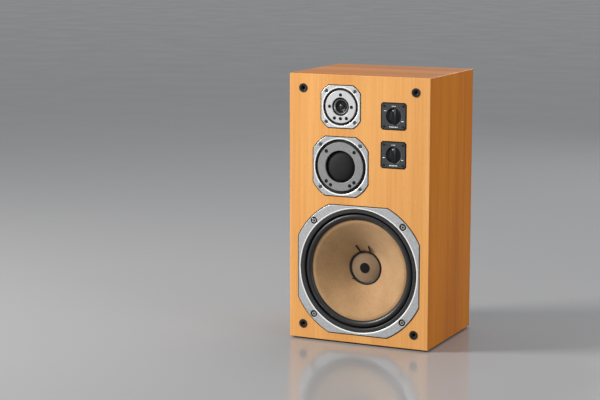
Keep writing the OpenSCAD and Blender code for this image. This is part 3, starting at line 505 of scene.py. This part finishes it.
for knob in (UPPER_KNOB, LOWER_KNOB):
    pin = knob_look.radius(knob + Vector((0, 0, PIN_UP * MM)))
    knob_look.over(knob_look.between(pin, NEAR, 0.00128), (0.75, 0.76, 0.75))
knob_black = knob_look.mat
white_ink = plain("white_ink", (0.82, 0.83, 0.82), 0.6).mat
socket_black = plain("socket_plastic", (0.012, 0.012, 0.012), 0.38).mat
bush_rubber = plain("bush_rubber", (0.03, 0.022, 0.016), 0.6).mat
pad_rubber = plain("pad_rubber", (0.02, 0.02, 0.02), 0.8).mat
cup_black = speckled("cup_plastic", (0.018, 0.018, 0.018), 0.5, 0, 500, 0.0001).mat
gold = brushed("post_brass", (0.85, 0.62, 0.28), 0.22)
nut_red = plain("nut_red", (0.40, 0.012, 0.012), 0.2, Coat_Weight=0.4).mat
nut_black = plain("nut_black", (0.014, 0.014, 0.014), 0.2, Coat_Weight=0.4).mat
cap_blue = plain("capacitor_blue", (0.03, 0.10, 0.26), 0.3).mat


def wire_look():
    """Red and black insulation, one colour per wire."""
    look = Look("wire_pvc", (0.3, 0.02, 0.02), 0.4)
    island = look.add("ShaderNodeNewGeometry").outputs["Random Per Island"]
    is_red = look.math("GREATER_THAN", island, 0.5)
    look.colour(look.ramp(is_red, (0.0, (0.02, 0.02, 0.02)), (1.0, (0.40, 0.02, 0.02))))
    look.bump(look.noise(look.space(), 500, 2), 0.2, 0.0001)
    return look.mat


wire_pvc = wire_look()

CAD_LOOKS = {
    "front_baffle": front_wood, "left_side_panel": shaded_left_wood, "right_side_panel": shaded_side_wood,
    "top_panel": shaded_top_wood, "bottom_panel": shaded_top_wood, "rear_panel": rear_paint,
    "corner_battens": raw_board, "shelf_brace": raw_board, "damping_felt": felt,
    "floor_pads": pad_rubber, "grille_socket_cups": socket_black, "grille_socket_bushes": bush_rubber,
    "woofer_basket": basket_casting, "woofer_bolts": bolt_metal, "woofer_voice_coil": copper,
    "mid_frame": mid_casting, "mid_faceplate": plate_grey, "mid_surround": dome_cloth,
    "mid_rear_chamber": nut_black, "mid_voice_coil": copper,
    "tweeter_frame": tweeter_casting, "tweeter_faceplate": plate_silver, "tweeter_bezel": bezel_metal,
    "tweeter_surround": tweeter_cloth, "tweeter_voice_coil": copper, "groove_rings": matt_black,
    "driver_top_plates": plated, "driver_magnets": ferrite, "driver_yokes": plated,
    "terminal_strips": board_brown, "driver_screws": screw_grey, "faceplate_screws": screw_black,
    "level_plates": slate, "level_potentiometers": plated, "upper_knob": knob_black,
    "upper_shaft": plated, "lower_knob": knob_black, "lower_shaft": plated,
    "plate_screws": screw_black, "terminal_cup": cup_black, "terminal_studs": gold,
    "red_washer": plated, "black_washer": plated, "red_cap_nut": nut_red, "black_cap_nut": nut_black,
    "crossover_board": board_brown, "crossover_inductors": copper, "crossover_capacitors": cap_blue,
    "internal_wiring": wire_pvc, "woofer_cap_vent": mesh_black, "woofer_cap_ring": glue,
    "mid_dome": dome_cloth, "tweeter_dome": tweeter_cloth, "woofer_spider": spider_cloth,
    "woofer_cone": cone_paper, "woofer_dust_cap": cap_paper, "woofer_surround": rubber,
    "woofer_gasket_ring": gasket_black, "woofer_flex_leads": copper_braid, "woofer_lead_stubs": braid,
}
for name, mat in CAD_LOOKS.items():
    data = nodes[name].data
    data.materials.clear()
    data.materials.append(mat)

SOFT_EDGES = {
    "woofer_basket": 1.1, "mid_frame": 1.0, "tweeter_frame": 0.8, "mid_faceplate": 0.3,
    "tweeter_faceplate": 0.3, "tweeter_bezel": 0.12, "level_plates": 0.35, "upper_knob": 0.35,
    "lower_knob": 0.35, "woofer_bolts": 0.3, "driver_screws": 0.25, "faceplate_screws": 0.2,
    "plate_screws": 0.2, "grille_socket_cups": 0.4, "grille_socket_bushes": 0.4,
    "terminal_cup": 0.5, "terminal_studs": 0.2, "red_cap_nut": 0.3, "black_cap_nut": 0.3,
    "floor_pads": 0.4,
}
for name, width in SOFT_EDGES.items():
    weld = nodes[name].modifiers.new("join seams", "WELD")
    weld.merge_threshold = 0.00001
    add_bevel(nodes[name], width * MM)

# ---------- woofer ----------

LIP = -8.8          # underside of the surround's lips, out of the baffle's face
ROLL_R, ROLL_MID, RUBBER_T = 7.7, 127.2, 1.0


def roll_half(name, a0, lip_r):
    """Half of the surround, from its lip at lip_r to the top of the roll. a0 is 0 outside and 180 inside."""
    side = 1 if a0 == 0 else -1
    steps = [0, 6, 13, 21, 30, 39, 48, 57, 66, 74, 81, 86, 88.5, 90]
    flange = math.degrees(math.asin(RUBBER_T / ROLL_R))

    def ring(r, lowest):
        angles = [math.radians(max(s, lowest)) for s in steps if s > lowest or s == 0]
        return [(ROLL_MID + side * r * math.cos(a), LIP + r * math.sin(a)) for a in angles]

    outer = ring(ROLL_R, flange)
    inner = ring(ROLL_R - RUBBER_T, 0)
    fillet = [(outer[0][0] + side * 0.7, outer[0][1] + 0.02), (outer[0][0] + side * 0.25, outer[0][1] + 0.25)]
    profile = [(lip_r, LIP), (lip_r, LIP + RUBBER_T), *fillet, *outer[1:], *reversed(inner)]
    return lathe(name, profile, WOOFER, rubber, None, 256)


outer_roll = roll_half("woofer_surround_outer", 0, 145.6)
inner_roll = roll_half("woofer_surround_inner", 180, 114.0)
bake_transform(outer_roll)
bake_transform(inner_roll)
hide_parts("woofer_surround")


def hatch(r, a, w):
    """Slanted ribs pressed into the top of the gasket ring."""
    if w < 1.0:
        return 0
    phase = (a * 170 / (2 * math.pi) + r / 7.0) % 1.0
    return -0.35 + 0.45 * (0.5 + 0.5 * math.cos(2 * math.pi * phase))


ring_profile = [(136.5, -7.8), (145.6, -7.8), (145.6, 0.5), (145.3, 0.95)]
ring_profile += [(r, 1.15) for r in (144.9, 143.6, 142.3, 141.0, 139.7, 138.4)]
ring_profile += [(137.6, 0.95), (136.9, 0.3), (136.5, -1.0)]
gasket = lathe("gasket_ring_ribbed", ring_profile, WOOFER, gasket_black, CABINET, 1020, hatch, 60)
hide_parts("woofer_gasket_ring")

# Cone: radius and level of the rim, radius of the neck, depth, outer edge; and the former's outer radius.
RIM_R, RIM_W, NECK_R, DEPTH, EDGE_R, FORMER_R = 113.0, -6.3, 34.2, 42.0, 119.2, 32.8
PULP_T = 1.38


def cone_out(r):
    """How far the cone's front face lies out at a radius; the curve is a little flared."""
    return RIM_W - DEPTH * ((RIM_R - r) / (RIM_R - NECK_R)) ** 1.12 if r < RIM_R else RIM_W


steps = 40
radii = [RIM_R - (RIM_R - NECK_R) * i / steps for i in range(steps + 1)]
front = [(r, cone_out(r)) for r in radii]
back = [(r, w - PULP_T) for r, w in front]
neck = RIM_W - DEPTH
cone_profile = [(EDGE_R, RIM_W - 1.15), (EDGE_R, RIM_W - 0.45)]
cone_profile += [(EDGE_R - 0.35, RIM_W - 0.1), (EDGE_R - 0.9, RIM_W)]
cone_profile += front + [(FORMER_R, neck - 0.2), (FORMER_R, neck - 5), (NECK_R, neck - 5)] + back[::-1]


def cockle(r, a, w):
    """The slight unevenness of pressed pulp."""
    fade = min(1.0, max(0.0, (RIM_R - r) / 20)) * min(1.0, max(0.0, (r - 45) / 20))
    wave = 0.10 * math.sin(3 * a + 0.9) + 0.06 * math.sin(7 * a + r / 9) + 0.03 * math.sin(13 * a - r / 5)
    return fade * wave


cone = lathe("woofer_cone_pulp", cone_profile, WOOFER, cone_paper, CONE_BODY, 192, cockle)
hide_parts("woofer_cone")


def dome_profile(base_r, rim, apex, thick, hole=0.0, n=22):
    """A spherical cap of even thickness, from its rim to its apex, with a hole in the middle."""
    rise = apex - rim
    s = (base_r ** 2 + rise ** 2) / (2 * rise)
    c = apex - s
    outer = [base_r + (hole - base_r) * i / n for i in range(n + 1)]
    top = [(r, c + math.sqrt(s * s - r * r)) for r in outer]
    inner_r = min(base_r, s - thick)
    under = [inner_r + (hole - inner_r) * i / n for i in range(n + 1)]
    bottom = [(r, c + math.sqrt(max((s - thick) ** 2 - r * r, 0))) for r in under]
    return top + bottom[::-1]


CAP_R, CAP_APEX, VENT_R = 36.7, -40.5, 12.4
cap_profile = dome_profile(CAP_R, cone_out(CAP_R) + 0.8, CAP_APEX, 0.7, VENT_R)
cap = lathe("dust_cap_pulp", cap_profile, WOOFER, cap_paper, CONE_BODY, 128)
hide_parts("woofer_dust_cap")


def bead(r, a, w):
    """The hand-laid bead is a little uneven."""
    return 0.12 * math.sin(5 * a + 0.6) + 0.08 * math.sin(11 * a)


low = cone_out(CAP_R) + 1.15
bead_profile = [(35.5, low + 0.4), (36.8, low), (38.4, cone_out(38.4) + 0.3), (40.4, cone_out(40.4) + 0.3)]
bead_profile += [(40.4, low + 1.8), (39.9, low + 2.4), (39.0, low + 2.8), (38.0, low + 2.9)]
bead_profile += [(37.0, low + 2.6), (36.1, low + 1.9), (35.6, low + 1.1)]
ring = lathe("cap_glue_bead", bead_profile, WOOFER, glue, CONE_BODY, 144, bead)
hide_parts("woofer_cap_ring")

# Lead ends and a tail of glue on the cone: name, radius, and where each starts and ends (across, up).
CONE_WIRES = (
    ("lead_left", 1.75, (-12.5, 38.6), (-19.2, 53.4)),
    ("lead_right", 1.75, (12.9, 38.9), (12.2, 53.8)),
    ("glue_tail", 1.1, (-28.2, -26.4), (-32.2, -28.0)),
)
for name, wire_r, p, q in CONE_WIRES:
    rp, rq = math.hypot(*p), math.hypot(*q)
    mid_p = ((p[0] + q[0]) / 2 + 0.5, (p[1] + q[1]) / 2)
    rm = math.hypot(*mid_p)
    pts = [
        at(WOOFER, p[0] * 0.98, p[1] * 0.98, cone_out(rp) + 2.4),
        at(WOOFER, p[0] * 1.06, p[1] * 1.06, cone_out(rp * 1.06) + 2.8),
        at(WOOFER, mid_p[0], mid_p[1], cone_out(rm) + 2.6),
        at(WOOFER, q[0] * 0.98, q[1] * 0.98, cone_out(rq) + 2.2),
        at(WOOFER, q[0], q[1], cone_out(rq) + 1.0),
    ]
    tube_along(name, pts, wire_r * MM, braid, CONE_BODY)
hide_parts("woofer_lead_stubs")

# ---------- spider and flexible leads ------------------------------------


SPIDER_W, SPIDER_RISE, SPIDER_T = -64.0, 7, 0.8


def spider_profile(n=72, ripples=4, ripple=1.5):
    """A rippled disc that rises from its flat foot to the former."""
    outer_r, inner_r, foot_r = 68.0, FORMER_R, 77
    path = []
    for i in range(n + 1):
        r = outer_r - (outer_r - inner_r) * i / n
        t = (outer_r - r) / (outer_r - inner_r)
        path.append((r, SPIDER_W + SPIDER_RISE * t ** 1.5 + ripple * math.sin(2 * math.pi * ripples * t)))
    foot = [(foot_r, SPIDER_W), (foot_r, SPIDER_W + SPIDER_T)]
    return foot + [(r, w + SPIDER_T) for r, w in path] + path[::-1]


spider = lathe("spider_disc", spider_profile(), WOOFER, spider_cloth, None, 128)
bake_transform(spider)
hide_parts("woofer_spider")

FLEX_ROUTE = [(14, 54, -43), (15, 58, -48), (18, 76, -52), (21, 96, -50), (21, 103, -45.5)]
for k, side in enumerate((-1, 1)):
    pts = [at(WOOFER, side * x, up, out) for x, up, out in FLEX_ROUTE]
    wire = tube_along("flex_lead_%d" % k, pts, 0.8 * MM, copper_braid, None)
    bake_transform(wire)
    if k == 0:
        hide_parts("woofer_flex_leads")

# ---------- domes ----------

# The midrange dome is a full, flattened cap: its radius, the level of its rim and its rise.
DOME_R, DOME_RIM, DOME_RISE, DOME_T = 36.9, -8.2, 11.2, 0.5
radii = [DOME_R * math.sin(math.radians(90 - 3.75 * i)) for i in range(25)]
full = [(r, DOME_RIM + DOME_RISE * (1 - min(1, r / DOME_R) ** 2.6) ** 0.62) for r in radii]
full[-1] = (0.0, 3.0)
full += [(r, w - DOME_T) for r, w in full[::-1]]
mid_dome = lathe("mid_dome_cloth", full, MID, dome_cloth, "mid_dome_assembly", 144)
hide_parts("mid_dome")
# The tweeter dome has a raised ring round a smaller crown.
ridged = [(11.4, -7.5), (11.1, -6.4), (10.5, -5.6), (9.9, -5.4), (9.3, -5.7)]
ridged += [(8.8, -6.3), (8.0, -6.7), (7.1, -6.6), (6.5, -5.7)]
ridged += [(5.6, -4.7), (4.4, -4.0), (3.0, -3.5), (1.5, -3.25), (0.0, -3.15)]
ridged += [(r, w - 0.35) for r, w in ridged[::-1]]
ridged[-1] = (11.4, -7.85)
tweeter_dome = lathe("tweeter_dome_cloth", ridged, TWEETER, tweeter_cloth, "tweeter_dome_assembly", 96)
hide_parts("tweeter_dome")

# ---------- printed marks on the level controls ----------


def bar(bm, c, x, up, w, h, face=1.0, t=0.12):
    """A thin printed bar on a control plate, in millimetres from the knob's axis."""
    corners = []
    for out in (face, face + t):
        for dx, dy in ((-w / 2, -h / 2), (w / 2, -h / 2), (w / 2, h / 2), (-w / 2, h / 2)):
            corners.append(bm.verts.new(at(c, x + dx, up + dy, out)))
    for f in ((3, 2, 1, 0), (4, 5, 6, 7), (0, 1, 5, 4), (1, 2, 6, 5), (2, 3, 7, 6), (3, 0, 4, 7)):
        bm.faces.new([corners[i] for i in f])


def disc(bm, c, x, up, r, low, high, n=20):
    """A round pin that stands out of the baffle from low to high."""
    turns = [2 * math.pi * k / n for k in range(n)]

    def circle(out):
        return [bm.verts.new(at(c, x + r * math.cos(a), up + r * math.sin(a), out)) for a in turns]

    lower, upper = circle(low), circle(high)
    bm.faces.new(lower[::-1])
    bm.faces.new(upper)
    for k in range(n):
        m = (k + 1) % n
        bm.faces.new((lower[k], lower[m], upper[m], upper[k]))


END_MARK_R = 24.3
for which, c, left_turn in (("upper", UPPER_KNOB, 150), ("lower", LOWER_KNOB, 196)):
    marks = bmesh.new()
    for x in (-3.3, 0, 3.3):
        bar(marks, c, x, 23.2, 2.2, 1.4)
    for x in (-8.8, -5.3, -1.8, 1.7, 5.2, 8.7):
        bar(marks, c, x, -24.2, 2.5 if x < 8 else 1.7, 1.9)
    for turn in (left_turn, -26):
        a = math.radians(turn)
        bar(marks, c, END_MARK_R * math.cos(a), END_MARK_R * math.sin(a), 5.2, 1.5)
    obj = finish_mesh(which + "_scale_marks", marks, white_ink)
    dot = bmesh.new()
    disc(dot, c, 0, PIN_UP, PIN_R, 0.5, 3.97)
    obj = finish_mesh(which + "_knob_dot", dot, white_ink, which + "_control")

# ---------- stage ----------

floor_mesh = bpy.data.meshes.new("floor")
FLOOR = 40
floor_corners = [(-FLOOR, -FLOOR, 0), (FLOOR, -FLOOR, 0), (FLOOR, FLOOR, 0), (-FLOOR, FLOOR, 0)]
floor_mesh.from_pydata(floor_corners, [], [(0, 1, 2, 3)])
floor = bpy.data.objects.new("floor", floor_mesh)
scene.collection.objects.link(floor)
ground = Look("floor", (0.25, 0.25, 0.252), 0.15)
ground.roughness(ground.ramp(ground.noise(ground.space(), 3, 2), (0.3, 0.13), (0.7, 0.17)))
floor_mesh.materials.append(ground.mat)

world = bpy.data.worlds.new("studio")
scene.world = world
world.use_nodes = True
background = world.node_tree.nodes["Background"]
background.inputs["Color"].default_value = (0.80, 0.82, 0.85, 1)
background.inputs["Strength"].default_value = 0.42


def softbox(name, place, aim, size, power, color=(1, 1, 1)):
    """A soft area light in place that looks at aim; size in metres, power in watts."""
    data = bpy.data.lights.new(name, "AREA")
    data.shape = "RECTANGLE"
    data.size, data.size_y = size
    data.energy = power
    data.color = color
    obj = bpy.data.objects.new(name, data)
    scene.collection.objects.link(obj)
    obj.location = place
    obj.rotation_mode = "QUATERNION"
    obj.rotation_quaternion = (Vector(aim) - Vector(place)).to_track_quat("-Z", "Y")


TARGET = (0, 0, 0.33)
softbox("key", (-2.8, -1.6, 2.0), TARGET, (0.9, 0.9), 215, (1.0, 0.98, 0.95))
softbox("front", (0.4, -4.2, 2.0), TARGET, (1.6, 1.4), 14)
softbox("fill", (3.0, -0.8, 1.2), TARGET, (1.4, 1.6), 34)
softbox("top", (0.2, 0.6, 2.8), TARGET, (1.5, 1.5), 30)
softbox("rear", (0.6, 3.2, 1.8), TARGET, (2.0, 1.5), 36)

camera_data = bpy.data.cameras.new("camera")
camera = bpy.data.objects.new("camera", camera_data)
scene.collection.objects.link(camera)
camera_data.lens = 103.4
camera_data.sensor_width = 36
camera.location = (1.556, -3.739, 0.978)
yaw, pitch = math.radians(-25.33), math.radians(9.21)
forward = Vector((math.sin(yaw) * math.cos(pitch), math.cos(yaw) * math.cos(pitch), -math.sin(pitch)))
camera.rotation_mode = "QUATERNION"
camera.rotation_quaternion = forward.to_track_quat("-Z", "Y")
scene.camera = camera
scene.view_settings.view_transform = "Standard"
scene.view_settings.look = "None"
